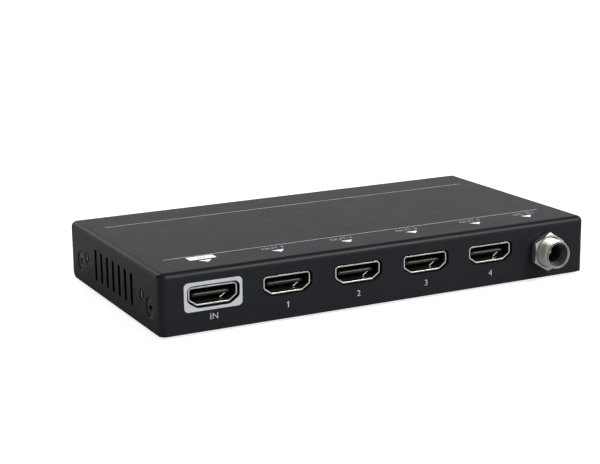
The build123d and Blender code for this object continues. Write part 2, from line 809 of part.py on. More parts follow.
# Status lights: round lenses in a row of black holders
with BuildPart() as status_lights:
    for x in light_xs:
        flange_y = rear_inner_y - light_holder_gap
        with BuildSketch(plane_at(rear_y)):
            with Locations((x, light_z)):
                Circle(light_radius)
        extrude(amount=light_body_length)
        with BuildSketch(plane_at(flange_y - light_flange)):
            with Locations((x, light_z)):
                Circle(light_flange_radius)
        extrude(amount=-light_flange)
    fillet(status_lights.edges().group_by(Axis.Y)[-1], light_radius / 2)
status_lights.part.label = "status_lights"
export_step(status_lights.part, "parts/status_lights.step")

holder_front_y = rear_inner_y - light_holder_gap - light_flange
holder_back_y = holder_front_y - light_holder_depth
with BuildPart() as light_holders:
    with Locations(*[(x, (holder_front_y + holder_back_y) / 2, board_top) for x in light_xs]):
        Box(light_holder_width, light_holder_depth, light_holder_height, align=on_floor)
    with BuildSketch(plane_at(holder_front_y)):
        with Locations(*[(x, light_z) for x in light_xs]):
            Circle(light_radius + light_holder_gap)
    extrude(amount=light_body_length, mode=Mode.SUBTRACT)
light_holders.part.label = "light_holders"
export_step(light_holders.part, "parts/light_holders.step")

with BuildPart() as light_leads:
    for x in light_xs:
        with Locations((x, holder_back_y - light_lead_width / 2, board_top)):
            with GridLocations(light_lead_spacing, light_lead_spacing, 2, 1):
                Box(light_lead_width, light_lead_width, light_axis_rise, align=on_floor)
light_leads.part.label = "light_leads"
export_step(light_leads.part, "parts/light_leads.step")

# Setting switch: a cover with four slots, a base behind it, terminals and four levers
slot_height = lever_height + lever_travel + 2 * lever_gap
foot_slot_height = lever_foot_height + lever_travel + 2 * lever_gap
cover_back_y = switch_face_y - switch_cover_depth
foot_front_y = cover_back_y - lever_gap
foot_back_y = foot_front_y - lever_foot_depth
with BuildPart() as switch_cover:
    with Locations((switch_x, switch_face_y - switch_cover_depth / 2, switch_z)):
        Box(switch_width, switch_cover_depth, switch_height)
    for x in lever_xs:
        with Locations((x, switch_face_y - switch_cover_depth / 2, switch_z)):
            Box(lever_width + 2 * lever_gap, switch_cover_depth, slot_height, mode=Mode.SUBTRACT)
switch_cover.part.label = "switch_cover"
export_step(switch_cover.part, "parts/switch_cover.step")

well_depth = lever_foot_depth + 2 * lever_gap
with BuildPart() as switch_base:
    with Locations((switch_x, cover_back_y - switch_base_depth / 2, switch_z)):
        Box(switch_width, switch_base_depth, switch_height)
    for x in lever_xs:
        with Locations((x, cover_back_y - well_depth / 2, switch_z)):
            Box(lever_foot_width + 2 * lever_gap, well_depth, foot_slot_height, mode=Mode.SUBTRACT)
switch_base.part.label = "switch_base"
export_step(switch_base.part, "parts/switch_base.step")

terminal_y = cover_back_y - switch_base_depth - terminal_length / 2
with BuildPart() as switch_terminals:
    with Locations((switch_x, terminal_y, board_top)):
        with GridLocations(lever_pitch, lever_pitch, lever_count, 1):
            Box(terminal_width, terminal_length, terminal_thickness, align=on_floor)
switch_terminals.part.label = "switch_terminals"
export_step(switch_terminals.part, "parts/switch_terminals.step")

knob_front_y = switch_face_y + lever_proud
for number, x in enumerate(lever_xs, start=1):
    with BuildPart() as switch_lever:
        with Locations((x, (foot_front_y + foot_back_y) / 2, lever_z)):
            Box(lever_foot_width, lever_foot_depth, lever_foot_height)
        with Locations((x, (knob_front_y + foot_front_y) / 2, lever_z)):
            Box(lever_width, knob_front_y - foot_front_y, lever_height)
    switch_lever.part.label = f"switch_lever_{number}"
    export_step(switch_lever.part, f"parts/switch_lever_{number}.step")

# Main splitter chip with its pad and heat sink
chip_x, chip_y = board_place(splitter_place_share)
chip_top = board_top + chip_seat + splitter_chip_height
with BuildPart() as splitter_chip:
    with Locations((chip_x, chip_y, board_top + chip_seat)):
        Box(splitter_chip_size, splitter_chip_size, splitter_chip_height, align=on_floor)
splitter_chip.part.label = "splitter_chip"
export_step(splitter_chip.part, "parts/splitter_chip.step")


# Flat leads along the four edges of a square chip, standing on the board
def edge_leads(x, y, size, count, pitch):
    reach = (size + chip_lead_length) / 2
    with Locations((x, y - reach, board_top), (x, y + reach, board_top)):
        with GridLocations(pitch, pitch, count, 1):
            Box(chip_lead_width, chip_lead_length, chip_lead_thickness, align=on_floor)
    with Locations((x - reach, y, board_top), (x + reach, y, board_top)):
        with GridLocations(pitch, pitch, 1, count):
            Box(chip_lead_length, chip_lead_width, chip_lead_thickness, align=on_floor)


with BuildPart() as splitter_chip_leads:
    edge_leads(chip_x, chip_y, splitter_chip_size, splitter_lead_count, splitter_lead_pitch)
splitter_chip_leads.part.label = "splitter_chip_leads"
export_step(splitter_chip_leads.part, "parts/splitter_chip_leads.step")

with BuildPart() as thermal_pad:
    with Locations((chip_x, chip_y, chip_top)):
        Box(pad_size, pad_size, pad_thickness, align=on_floor)
thermal_pad.part.label = "thermal_pad"
export_step(thermal_pad.part, "parts/thermal_pad.step")

sink_z = chip_top + pad_thickness
sink_height = case_top - sheet - sink_top_gap - sink_z
fin_pitch = (sink_size - sink_fin) / (sink_fin_count - 1)
with BuildPart() as heat_sink:
    with Locations((chip_x, chip_y, sink_z)):
        Box(sink_size, sink_size, sink_floor, align=on_floor)
    with Locations((chip_x, chip_y, sink_z + sink_floor)):
        with GridLocations(fin_pitch, fin_pitch, sink_fin_count, 1):
            Box(sink_fin, sink_size, sink_height - sink_floor, align=on_floor)
heat_sink.part.label = "heat_sink"
export_step(heat_sink.part, "parts/heat_sink.step")

control_x, control_y = board_place(control_place_share)
with BuildPart() as control_chip:
    with Locations((control_x, control_y, board_top + chip_seat)):
        Box(control_chip_size, control_chip_size, control_chip_height, align=on_floor)
control_chip.part.label = "control_chip"
export_step(control_chip.part, "parts/control_chip.step")

with BuildPart() as control_chip_leads:
    edge_leads(control_x, control_y, control_chip_size, control_lead_count, splitter_lead_pitch)
control_chip_leads.part.label = "control_chip_leads"
export_step(control_chip_leads.part, "parts/control_chip_leads.step")

# One line driver and two surge arrays behind each socket
with BuildPart() as line_drivers:
    with Locations(*[(x, driver_y, board_top) for x in socket_xs]):
        Box(driver_size, driver_size, driver_height, align=on_floor)
line_drivers.part.label = "line_drivers"
export_step(line_drivers.part, "parts/line_drivers.step")

with BuildPart() as surge_arrays:
    with Locations(*[(x, tail_end_y + surge_setback, board_top) for x in socket_xs]):
        with GridLocations(surge_spacing, surge_spacing, 2, 1):
            Box(surge_length, surge_width, surge_height, align=on_floor)
surge_arrays.part.label = "surge_arrays"
export_step(surge_arrays.part, "parts/surge_arrays.step")

memory_places = [board_place(share) for share in memory_place_shares]
with BuildPart() as memory_chips:
    with Locations(*[(x, y, board_top + chip_seat) for x, y in memory_places]):
        Box(memory_length, memory_width, memory_height, align=on_floor)
memory_chips.part.label = "memory_chips"
export_step(memory_chips.part, "parts/memory_chips.step")

lead_reach = (memory_width + chip_lead_length) / 2
with BuildPart() as memory_chip_leads:
    for x, y in memory_places:
        with Locations((x, y - lead_reach, board_top), (x, y + lead_reach, board_top)):
            with GridLocations(memory_lead_pitch, memory_lead_pitch, memory_lead_count, 1):
                Box(chip_lead_width, chip_lead_length, chip_lead_thickness, align=on_floor)
memory_chip_leads.part.label = "memory_chip_leads"
export_step(memory_chip_leads.part, "parts/memory_chip_leads.step")

# Power supply parts
with BuildPart() as regulators:
    with Locations(*[(*board_place(share), board_top) for share in regulator_place_shares]):
        Box(regulator_length, regulator_width, regulator_height, align=on_floor)
regulators.part.label = "regulators"
export_step(regulators.part, "parts/regulators.step")

with BuildPart() as inductors:
    with Locations(*[(*board_place(share), board_top) for share in inductor_place_shares]):
        Box(inductor_size, inductor_size, inductor_height, align=on_floor)
    fillet(inductors.edges().filter_by(Axis.Z), inductor_corner)
inductors.part.label = "inductors"
export_step(inductors.part, "parts/inductors.step")

can_z = board_top + can_base_height
with BuildPart() as capacitor_cans:
    with Locations(*[(*board_place(share), can_z) for share in can_place_shares]):
        Cylinder(can_radius, can_height, align=on_floor)
    fillet(capacitor_cans.edges().group_by(Axis.Z)[-1], can_round)
capacitor_cans.part.label = "capacitor_cans"
export_step(capacitor_cans.part, "parts/capacitor_cans.step")

with BuildPart() as capacitor_bases:
    with Locations(*[(*board_place(share), board_top) for share in can_place_shares]):
        Box(can_base_size, can_base_size, can_base_height, align=on_floor)
capacitor_bases.part.label = "capacitor_bases"
export_step(capacitor_bases.part, "parts/capacitor_bases.step")

with BuildPart() as clock_crystals:
    with Locations(*[(*board_place(share), board_top) for share in crystal_place_shares]):
        Box(crystal_length, crystal_width, crystal_height, align=on_floor)
    fillet(clock_crystals.edges().filter_by(Axis.Z), crystal_width / 4)
clock_crystals.part.label = "clock_crystals"
export_step(clock_crystals.part, "parts/clock_crystals.step")

lug_end_y = block_y + jack_block_depth + jack_lug_reach
with BuildPart() as input_fuse:
    with Locations((jack_x, lug_end_y + fuse_gap + fuse_width / 2, board_top)):
        Box(fuse_length, fuse_width, fuse_height, align=on_floor)
input_fuse.part.label = "input_fuse"
export_step(input_fuse.part, "parts/input_fuse.step")

# Rows of small ceramic capacitors and resistors
with BuildPart() as ceramic_capacitors:
    with Locations((*board_place(capacitor_row_share), board_top)):
        with GridLocations(small_part_pitch, small_part_pitch, small_part_count, 1):
            Box(small_part_width, small_part_length, capacitor_height, align=on_floor)
ceramic_capacitors.part.label = "ceramic_capacitors"
export_step(ceramic_capacitors.part, "parts/ceramic_capacitors.step")

with BuildPart() as resistors:
    with Locations((*board_place(resistor_row_share), board_top)):
        with GridLocations(small_part_pitch, small_part_pitch, small_part_count, 1):
            Box(small_part_width, small_part_length, resistor_height, align=on_floor)
resistors.part.label = "resistors"
export_step(resistors.part, "parts/resistors.step")
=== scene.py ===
import json
from math import pi, radians, tau
import bmesh
import bpy
from mathutils import Matrix, Vector


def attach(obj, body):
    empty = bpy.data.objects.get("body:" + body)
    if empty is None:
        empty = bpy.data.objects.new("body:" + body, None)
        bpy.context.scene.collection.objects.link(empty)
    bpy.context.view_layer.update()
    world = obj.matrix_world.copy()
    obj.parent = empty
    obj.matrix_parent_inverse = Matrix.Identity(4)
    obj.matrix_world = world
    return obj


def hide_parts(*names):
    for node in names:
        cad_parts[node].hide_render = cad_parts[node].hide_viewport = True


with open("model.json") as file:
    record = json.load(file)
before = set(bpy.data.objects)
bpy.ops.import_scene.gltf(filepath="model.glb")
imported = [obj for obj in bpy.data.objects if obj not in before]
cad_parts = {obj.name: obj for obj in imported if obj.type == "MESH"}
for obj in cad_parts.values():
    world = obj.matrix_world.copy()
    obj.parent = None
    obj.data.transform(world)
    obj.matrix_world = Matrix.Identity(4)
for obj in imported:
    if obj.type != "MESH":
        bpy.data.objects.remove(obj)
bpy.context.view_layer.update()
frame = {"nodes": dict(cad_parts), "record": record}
nodes = frame["nodes"]
scene = bpy.context.scene
scene.view_settings.view_transform = "Standard"
mm = 0.001
print("frame loaded,", len(nodes), "nodes")

# Places of the case in the part's frame, in mm
case = {
    "front": -33.35, "rear": 40.25, "top": 18.8, "side": 71.5,
    "socketX": (-55.55, -32.55, -9.55, 13.45, 36.45), "socketZ": 11.175,
    "jackX": 56.87, "jackZ": 9.42,
}


# sRGB hex to linear colour
def linear(text):
    parts = [int(text[i:i + 2], 16) / 255 for i in (1, 3, 5)]
    return tuple(p / 12.92 if p <= 0.04045 else ((p + 0.055) / 1.055) ** 2.4 for p in parts) + (1,)


# Adds one node with its settings and links
def addNode(tree, kind, settings=None, links=None, **choices):
    node = tree.nodes.new(kind)
    for name, choice in choices.items():
        setattr(node, name, choice)
    for socket, value in (settings or {}).items():
        node.inputs[socket].default_value = value
    for socket, source in (links or {}).items():
        tree.links.new(source, node.inputs[socket])
    return node


# Camera: angles in degrees, place in metres
view = {
    "azimuth": -27.001, "elevation": 13.77, "roll": -0.665,
    "place": (-0.213105, -0.395567, 0.125365), "lens": 88.962, "sensor": 36,
}
cameraData = bpy.data.cameras.new("camera")
cameraData.lens = view["lens"]
cameraData.sensor_width = view["sensor"]
camera = bpy.data.objects.new("camera", cameraData)
camera.matrix_world = (
    Matrix.Translation(view["place"])
    @ Matrix.Rotation(radians(view["azimuth"]), 4, "Z")
    @ Matrix.Rotation(radians(90 - view["elevation"]), 4, "X")
    @ Matrix.Rotation(radians(view["roll"]), 4, "Z")
)
scene.collection.objects.link(camera)
scene.camera = camera
print("camera set")

# Studio: soft daylight from all round, a key lamp over the right shoulder, a weak fill and a lamp behind.
# Gloss sees a white backdrop that turns dark above, as under a studio ceiling; horizonEnd and ceilingStart are sines of
# the height angle. Each lamp has a place and a size in metres and a power in watts.
studio = {
    "skyColour": "#f3f6fb", "skyStrength": 0.55,
    "lamps": (
        ("keyLamp", (0.50, -0.74, 0.72), 0.38, 15.0),
        ("fillLamp", (-0.7, -0.9, 0.6), 0.8, 0.8),
        ("rearLamp", (-0.25, 0.95, 0.50), 0.40, 1.2),
    ),
    "target": (0, 0, 0.01), "horizonEnd": 0.30, "ceilingStart": 0.60, "ceiling": 0.12,
    "floorColour": "#bcbcbc", "floorSpecular": 0.1, "floorRoughness": 0.9, "floorLift": 0.8, "floorSize": 2.0,
}

world = bpy.data.worlds.new("studioWorld")
scene.world = world
world.use_nodes = True
tree = world.node_tree
tree.nodes.clear()
sky = addNode(tree, "ShaderNodeBackground", {"Color": linear(studio["skyColour"]), "Strength": studio["skyStrength"]})
direction = addNode(tree, "ShaderNodeTexCoord").outputs["Generated"]
height = addNode(tree, "ShaderNodeSeparateXYZ", None, {0: direction}).outputs["Z"]
fade = addNode(
    tree, "ShaderNodeMapRange",
    {"From Min": studio["horizonEnd"], "From Max": studio["ceilingStart"], "To Min": 1.0, "To Max": studio["ceiling"]},
    {"Value": height},
)
path = addNode(tree, "ShaderNodeLightPath").outputs
seen = addNode(tree, "ShaderNodeMath", None, {0: fade.outputs[0], 1: path["Is Camera Ray"]}, operation="MAXIMUM")
backdrop = addNode(tree, "ShaderNodeBackground", {"Color": (1, 1, 1, 1)}, {"Strength": seen.outputs[0]})
# The backdrop shows where the eye, a mirror or clear plastic looks straight at the surroundings
direct = addNode(tree, "ShaderNodeMath", None, {0: path["Is Camera Ray"], 1: path["Is Glossy Ray"]}, operation="MAXIMUM")
sight = addNode(
    tree, "ShaderNodeMath", None, {0: direct.outputs[0], 1: path["Is Transmission Ray"]}, operation="MAXIMUM",
)
mixed = addNode(tree, "ShaderNodeMixShader", None, {0: sight.outputs[0], 1: sky.outputs[0], 2: backdrop.outputs[0]})
addNode(tree, "ShaderNodeOutputWorld", None, {"Surface": mixed.outputs[0]})

for name, place, size, power in studio["lamps"]:
    lamp = bpy.data.lights.new(name, "AREA")
    lamp.shape = "DISK"
    lamp.size = size
    lamp.energy = power
    holder = bpy.data.objects.new(name, lamp)
    aim = Vector(place) - Vector(studio["target"])
    holder.matrix_world = Matrix.Translation(place) @ aim.to_track_quat("Z", "Y").to_matrix().to_4x4()
    scene.collection.objects.link(holder)

# Pale painted board under the object: it keeps the shadow, and only the eye sees it lifted to white
floorPaint = bpy.data.materials.new("whitePaintedFloor")
floorPaint.use_nodes = True
tree = floorPaint.node_tree
shader = tree.nodes["Principled BSDF"]
shader.inputs["Base Color"].default_value = linear(studio["floorColour"])
shader.inputs["Roughness"].default_value = studio["floorRoughness"]
shader.inputs["Specular IOR Level"].default_value = studio["floorSpecular"]
eye = addNode(tree, "ShaderNodeLightPath").outputs["Is Camera Ray"]
lift = addNode(tree, "ShaderNodeMath", {1: studio["floorLift"]}, {0: eye}, operation="MULTIPLY")
glow = addNode(tree, "ShaderNodeEmission", {"Color": (1, 1, 1, 1)}, {"Strength": lift.outputs[0]})
both = addNode(tree, "ShaderNodeAddShader", None, {0: shader.outputs[0], 1: glow.outputs[0]})
tree.links.new(both.outputs[0], tree.nodes["Material Output"].inputs["Surface"])
bm = bmesh.new()
bmesh.ops.create_grid(bm, x_segments=1, y_segments=1, size=studio["floorSize"])
floorMesh = bpy.data.meshes.new("floor")
bm.to_mesh(floorMesh)
bm.free()
floorMesh.materials.append(floorPaint)
floor = bpy.data.objects.new("floor", floorMesh)
scene.collection.objects.link(floor)
print("studio set")


# Starts a material from the shader's own values
def startMaterial(name, values):
    material = bpy.data.materials.new(name)
    material.use_nodes = True
    tree = material.node_tree
    shader = tree.nodes["Principled BSDF"]
    for socket, value in values.items():
        shader.inputs[socket].default_value = value
    place = addNode(tree, "ShaderNodeTexCoord").outputs["Object"]
    return material, tree, shader, place


# Span of the noise that a surface uses, since the noise hardly ever comes near 0 or 1, and the share of the specks in it
noise = {"low": 0.35, "high": 0.65, "cloudDetail": 3.0, "grainDetail": 2.0, "speckShare": 0.4}


# A surface with slow clouds in its colour and gloss, and a fine grain in its relief; cloud, grain and relief in mm
def dressSurface(name, look):
    values = {"Metallic": look.get("metallic", 0.0), "Specular IOR Level": look.get("specular", 0.5)}
    if not look.get("metallic"):
        values["IOR"] = 1.5
    material, tree, shader, place = startMaterial(name, values)
    stretched = addNode(tree, "ShaderNodeMapping", {"Scale": look.get("stretch", (1, 1, 1))}, {"Vector": place})
    wide = {"Scale": 1 / (look["cloud"] * mm), "Detail": noise["cloudDetail"]}
    fine = {"Scale": 1 / (look["grain"] * mm), "Detail": noise["grainDetail"]}
    cloud = addNode(tree, "ShaderNodeTexNoise", wide, {"Vector": place})
    grain = addNode(tree, "ShaderNodeTexNoise", fine, {"Vector": stretched.outputs[0]})
    span = {"From Min": noise["low"], "From Max": noise["high"]}
    patches = addNode(tree, "ShaderNodeMapRange", span, {"Value": cloud.outputs["Fac"]}).outputs[0]
    specks = addNode(tree, "ShaderNodeMapRange", span, {"Value": grain.outputs["Fac"]}).outputs[0]
    blend = addNode(tree, "ShaderNodeMix", {0: noise["speckShare"]}, {2: patches, 3: specks}).outputs[0]
    shades = {6: linear(look["base"]), 7: linear(look["second"])}
    colour = addNode(tree, "ShaderNodeMix", shades, {0: blend}, data_type="RGBA")
    low, high = look["roughness"]
    gloss = addNode(tree, "ShaderNodeMapRange", {"To Min": low, "To Max": high}, {"Value": blend})
    height = {"Strength": 1.0, "Distance": look["relief"] * mm}
    relief = addNode(tree, "ShaderNodeBump", height, {"Height": grain.outputs["Fac"]})
    tree.links.new(colour.outputs[2], shader.inputs["Base Color"])
    tree.links.new(gloss.outputs[0], shader.inputs["Roughness"])
    tree.links.new(relief.outputs[0], shader.inputs["Normal"])
    return material


finishes = {
    # Powder-coated steel: an even soft black with the fine orange peel that the baked powder leaves
    "cover_paint": ("powderCoatedCover", {
        "base": "#131417", "second": "#16171b", "roughness": (0.42, 0.46), "specular": 0.14,
        "cloud": 9, "grain": 0.32, "relief": 0.010,
    }),
    "tray_paint": ("powderCoatedTray", {
        "base": "#121316", "second": "#15161a", "roughness": (0.44, 0.48), "specular": 0.14,
        "cloud": 9, "grain": 0.32, "relief": 0.010,
    }),
    # Nitrile rubber, moulded: dull black with a dusty bloom
    "foot_rubber": ("mouldedNitrileRubber", {
        "base": "#19191a", "second": "#262627", "roughness": (0.72, 0.86),
        "cloud": 2.5, "grain": 0.25, "relief": 0.012,
    }),
    # Zinc-plated steel: pale bluish metal, a little uneven from the bath
    "zinc_steel": ("zincPlatedSteel", {
        "base": "#a7abb0", "second": "#bcc0c2", "metallic": 1.0, "roughness": (0.28, 0.42),
        "cloud": 1.4, "grain": 0.18, "relief": 0.002,
    }),
    # Black-zinc steel: a dark metal sheen rather than paint
    "black_steel": ("blackZincScrew", {
        "base": "#121215", "second": "#1a1a1d", "metallic": 0.5, "roughness": (0.28, 0.38),
        "cloud": 0.8, "grain": 0.15, "relief": 0.003,
    }),
    # Polyester film, matt on one side: dark and slightly clouded
    "film": ("mattPolyesterFilm", {
        "base": "#242526", "second": "#2d2e2f", "roughness": (0.45, 0.6),
        "cloud": 6, "grain": 0.2, "relief": 0.002,
    }),
    # Drawn steel strip, nickel plated: an even pale rim with faint drawing marks along its depth
    "shell_metal": ("nickelPlatedStrip", {
        "base": "#c3c1ba", "second": "#cecbc5", "metallic": 1.0, "roughness": (0.34, 0.44),
        "cloud": 1.2, "grain": 0.12, "stretch": (1, 0.15, 1), "relief": 0.0015,
    }),
    # Liquid-crystal polymer, moulded: satin black with faint flow marks
    "tongue_plastic": ("mouldedTonguePolymer", {
        "base": "#0e0e0f", "second": "#161617", "specular": 0.3, "roughness": (0.32, 0.45),
        "cloud": 1.0, "grain": 0.1, "relief": 0.002,
    }),
    # Gold flash over copper alloy, darkened to a dull brown: a painted shade for the dark inside of the sockets
    "contact_metal": ("goldFlashContact", {
        "base": "#5c4a2c", "second": "#6b5834", "metallic": 1.0, "roughness": (0.38, 0.50),
        "cloud": 0.6, "grain": 0.08, "relief": 0.001,
    }),
    # Turned brass, nickel plated and no longer bright: a soft warm grey with tool rings round its axis
    "nickel_plate": ("nickelPlatedTurnedBrass", {
        "base": "#a3a29c", "second": "#b6b5af", "metallic": 1.0, "roughness": (0.38, 0.50),
        "cloud": 1.6, "grain": 0.16, "relief": 0.0015,
    }),
    # Polyamide, moulded and matt: the dark lining of the jack
    "jack_plastic": ("mouldedJackPolyamide", {
        "base": "#131314", "second": "#1c1c1d", "roughness": (0.42, 0.55),
        "cloud": 1.5, "grain": 0.15, "relief": 0.004,
    }),
    # Tin-plated copper: soft bright grey
    "tin_plate": ("tinPlatedCopper", {
        "base": "#c4c4c0", "second": "#d2d2ce", "metallic": 1.0, "roughness": (0.30, 0.42),
        "cloud": 0.7, "grain": 0.1, "relief": 0.002,
    }),
    # Polyamide, moulded: satin black light holders
    "holder_plastic": ("mouldedHolderPolyamide", {
        "base": "#161617", "second": "#202021", "roughness": (0.40, 0.52),
        "cloud": 1.5, "grain": 0.15, "relief": 0.004,
    }),
    # Polyester resin, moulded: the blue body of the setting switch, a fine spark-eroded texture
    "switch_plastic": ("mouldedSwitchPolyester", {
        "base": "#1c4b98", "second": "#2357a8", "roughness": (0.36, 0.48),
        "cloud": 2.0, "grain": 0.14, "relief": 0.005,
    }),
    # Acetal, moulded: waxy white lever knobs
    "lever_plastic": ("mouldedLeverAcetal", {
        "base": "#dddcd5", "second": "#eae9e3", "roughness": (0.32, 0.42),
        "cloud": 0.8, "grain": 0.12, "relief": 0.003,
    }),
    # Epoxy moulding compound: charcoal with a sandy matt face
    "chip_plastic": ("mouldedChipEpoxy", {
        "base": "#1a1a1b", "second": "#272728", "roughness": (0.50, 0.64),
        "cloud": 1.8, "grain": 0.12, "relief": 0.006,
    }),
    # Silicone gap pad: soft grey, dry to the touch
    "pad_rubber": ("siliconeGapPad", {
        "base": "#7f8b93", "second": "#94a0a7", "roughness": (0.68, 0.8),
        "cloud": 1.2, "grain": 0.2, "relief": 0.006,
    }),
    # Extruded aluminium, black anodised: fine die lines along the fins
    "sink_metal": ("anodisedExtrudedAluminium", {
        "base": "#2b2c2f", "second": "#383a3d", "metallic": 0.85, "roughness": (0.36, 0.48),
        "cloud": 3.0, "grain": 0.2, "stretch": (1, 0.08, 1), "relief": 0.004,
    }),
    # Sintered ferrite: dark grey and slightly sparkling
    "ferrite": ("sinteredFerrite", {
        "base": "#333335", "second": "#444446", "roughness": (0.50, 0.66),
        "cloud": 1.0, "grain": 0.12, "relief": 0.008,
    }),
    # Drawn aluminium can under a clear sleeve: bright with soft clouds
    "can_metal": ("drawnAluminiumCan", {
        "base": "#b4b6b8", "second": "#c6c8ca", "metallic": 1.0, "roughness": (0.24, 0.36),
        "cloud": 1.5, "grain": 0.15, "stretch": (1, 1, 0.2), "relief": 0.002,
    }),
    # Rolled nickel-silver lid: warm, finely brushed
    "crystal_metal": ("rolledNickelSilver", {
        "base": "#bab7ae", "second": "#cac7be", "metallic": 1.0, "roughness": (0.26, 0.38),
        "cloud": 1.0, "grain": 0.12, "stretch": (0.2, 1, 1), "relief": 0.002,
    }),
    # Filled polymer body of the fuse: dull green
    "fuse_plastic": ("mouldedFusePolymer", {
        "base": "#2b5c41", "second": "#356b4d", "roughness": (0.50, 0.62),
        "cloud": 1.0, "grain": 0.12, "relief": 0.005,
    }),
    # Fired ceramic: tan with a chalky face
    "ceramic": ("firedChipCeramic", {
        "base": "#80603f", "second": "#957350", "roughness": (0.46, 0.6),
        "cloud": 0.5, "grain": 0.08, "relief": 0.004,
    }),
    # Screen-printed ink: thin pale grey film, a little rough where the mesh left it
    "print_ink": ("screenPrintedInk", {
        "base": "#a2a5a9", "second": "#adb0b4", "roughness": (0.48, 0.6), "specular": 0.3,
        "cloud": 1.2, "grain": 0.14, "relief": 0.003,
    }),
    # Dark ink on the white plate: a film so thin that the white lightens it
    "darkInk": ("screenPrintedDarkInk", {
        "base": "#505155", "second": "#5a5b5f", "roughness": (0.48, 0.6), "specular": 0.3,
        "cloud": 1.2, "grain": 0.14, "relief": 0.003,
    }),
    # White ink of the plate and the arrows: it covers fully, where the grey of the lines lets the black through
    "whiteInk": ("screenPrintedWhiteInk", {
        "base": "#ececec", "second": "#f4f4f4", "roughness": (0.5, 0.62), "specular": 0.3,
        "cloud": 1.2, "grain": 0.14, "relief": 0.003,
    }),
    # Painted highlight on the tongue's upper front edge: polymer painted paler and smoother than its face
    "tongueEdgeHighlight": ("rubbedTonguePolymer", {
        "base": "#6c6a69", "second": "#787675", "roughness": (0.30, 0.40),
        "cloud": 0.6, "grain": 0.1, "relief": 0.002,
    }),
    # Spring strip bent out of the shell: painted paler than the shell, a painted highlight for the glint on its bend
    "springGlint": ("rubbedSpringStrip", {
        "base": "#dedcd6", "second": "#e9e7e2", "metallic": 1.0, "roughness": (0.26, 0.36),
        "cloud": 0.6, "grain": 0.1, "relief": 0.001,
    }),
}
materials = {}
for key, (name, look) in finishes.items():
    materials[key] = dressSurface(name, look)

# Painted shade in the slots and holes of the cover's sides: their walls are painted near black and without gloss,
# standing in for the shade inside them. The mask takes what lies inside the side's outer face, below the top and near
# the vents and ear holes; lengths in mm.
slotWallShade = {"side": 71.42, "top": 16.5, "middleY": 3.45, "reach": 25.0, "bareDotsAndSlotShade": "#050506"}
tree = materials["cover_paint"].node_tree
shader = tree.nodes["Principled BSDF"]
place = addNode(tree, "ShaderNodeTexCoord").outputs["Object"]
apart = addNode(tree, "ShaderNodeSeparateXYZ", None, {0: place}).outputs
width = addNode(tree, "ShaderNodeMath", None, {0: apart["X"]}, operation="ABSOLUTE").outputs[0]
within = addNode(tree, "ShaderNodeMath", {1: slotWallShade["side"] * mm}, {0: width}, operation="LESS_THAN").outputs[0]
below = addNode(tree, "ShaderNodeMath", {1: slotWallShade["top"] * mm}, {0: apart["Z"]}, operation="LESS_THAN").outputs[0]
span = {1: slotWallShade["middleY"] * mm, 2: slotWallShade["reach"] * mm}
between = addNode(tree, "ShaderNodeMath", span, {0: apart["Y"]}, operation="COMPARE").outputs[0]
both = addNode(tree, "ShaderNodeMath", None, {0: within, 1: below}, operation="MULTIPLY").outputs[0]
cut = addNode(tree, "ShaderNodeMath", None, {0: both, 1: between}, operation="MULTIPLY").outputs[0]
coated = shader.inputs["Base Color"].links[0].from_socket
shine = shader.inputs["Specular IOR Level"].default_value
# The masked walls take the near-black painted shade and lose their gloss
colour = addNode(tree, "ShaderNodeMix", {7: linear(slotWallShade["bareDotsAndSlotShade"])}, {0: cut, 6: coated}, data_type="RGBA")
gloss = addNode(tree, "ShaderNodeMix", {2: shine, 3: 0.0}, {0: cut})
tree.links.new(colour.outputs[2], shader.inputs["Base Color"])
tree.links.new(gloss.outputs[0], shader.inputs["Specular IOR Level"])

# The socket shells' front edges are cut and pale; the rolled faces behind them are dull and painted a darker grey, a
# painted shade for the dark inside of the mouths
shellMouthShade = {"edgeY": -32.74, "insideY": -32.60, "insideShade": "#6b665c", "polish": 0.40}
tree = materials["shell_metal"].node_tree
shader = tree.nodes["Principled BSDF"]
place = addNode(tree, "ShaderNodeTexCoord").outputs["Object"]
depth = addNode(tree, "ShaderNodeSeparateXYZ", None, {0: place}).outputs["Y"]
span = {"From Min": shellMouthShade["edgeY"] * mm, "From Max": shellMouthShade["insideY"] * mm}
inside = addNode(tree, "ShaderNodeMapRange", span, {"Value": depth}).outputs[0]
edgeColour = shader.inputs["Base Color"].links[0].from_socket
edgeGloss = shader.inputs["Roughness"].links[0].from_socket
# Behind the edge the faces take the darker painted shade
colour = addNode(tree, "ShaderNodeMix", {7: linear(shellMouthShade["insideShade"])}, {0: inside, 6: edgeColour}, data_type="RGBA")
gloss = addNode(tree, "ShaderNodeMix", {3: shellMouthShade["polish"]}, {0: inside, 2: edgeGloss})
tree.links.new(colour.outputs[2], shader.inputs["Base Color"])
tree.links.new(gloss.outputs[0], shader.inputs["Roughness"])

# Tool rings on turned parts: a real cut leaves them about 0.09 mm apart along the jack's axis, and they are drawn
# 0.18 mm apart so that they show. The wave repeats every pi / 10 of its own units.
rings = {"pitch": 0.18, "depth": 0.003, "waver": 0.6}
tree = materials["nickel_plate"].node_tree
shader = tree.nodes["Principled BSDF"]
place = addNode(tree, "ShaderNodeTexCoord").outputs["Object"]
wave = {"Scale": pi / 10 / (rings["pitch"] * mm), "Distortion": rings["waver"], "Detail": 1.0}
bands = addNode(tree, "ShaderNodeTexWave", wave, {"Vector": place}, bands_direction="Y")
grained = shader.inputs["Normal"].links[0].from_socket
height = {"Strength": 1.0, "Distance": rings["depth"] * mm}
ringed = addNode(tree, "ShaderNodeBump", height, {"Height": bands.outputs["Fac"], "Normal": grained})
tree.links.new(ringed.outputs[0], shader.inputs["Normal"])

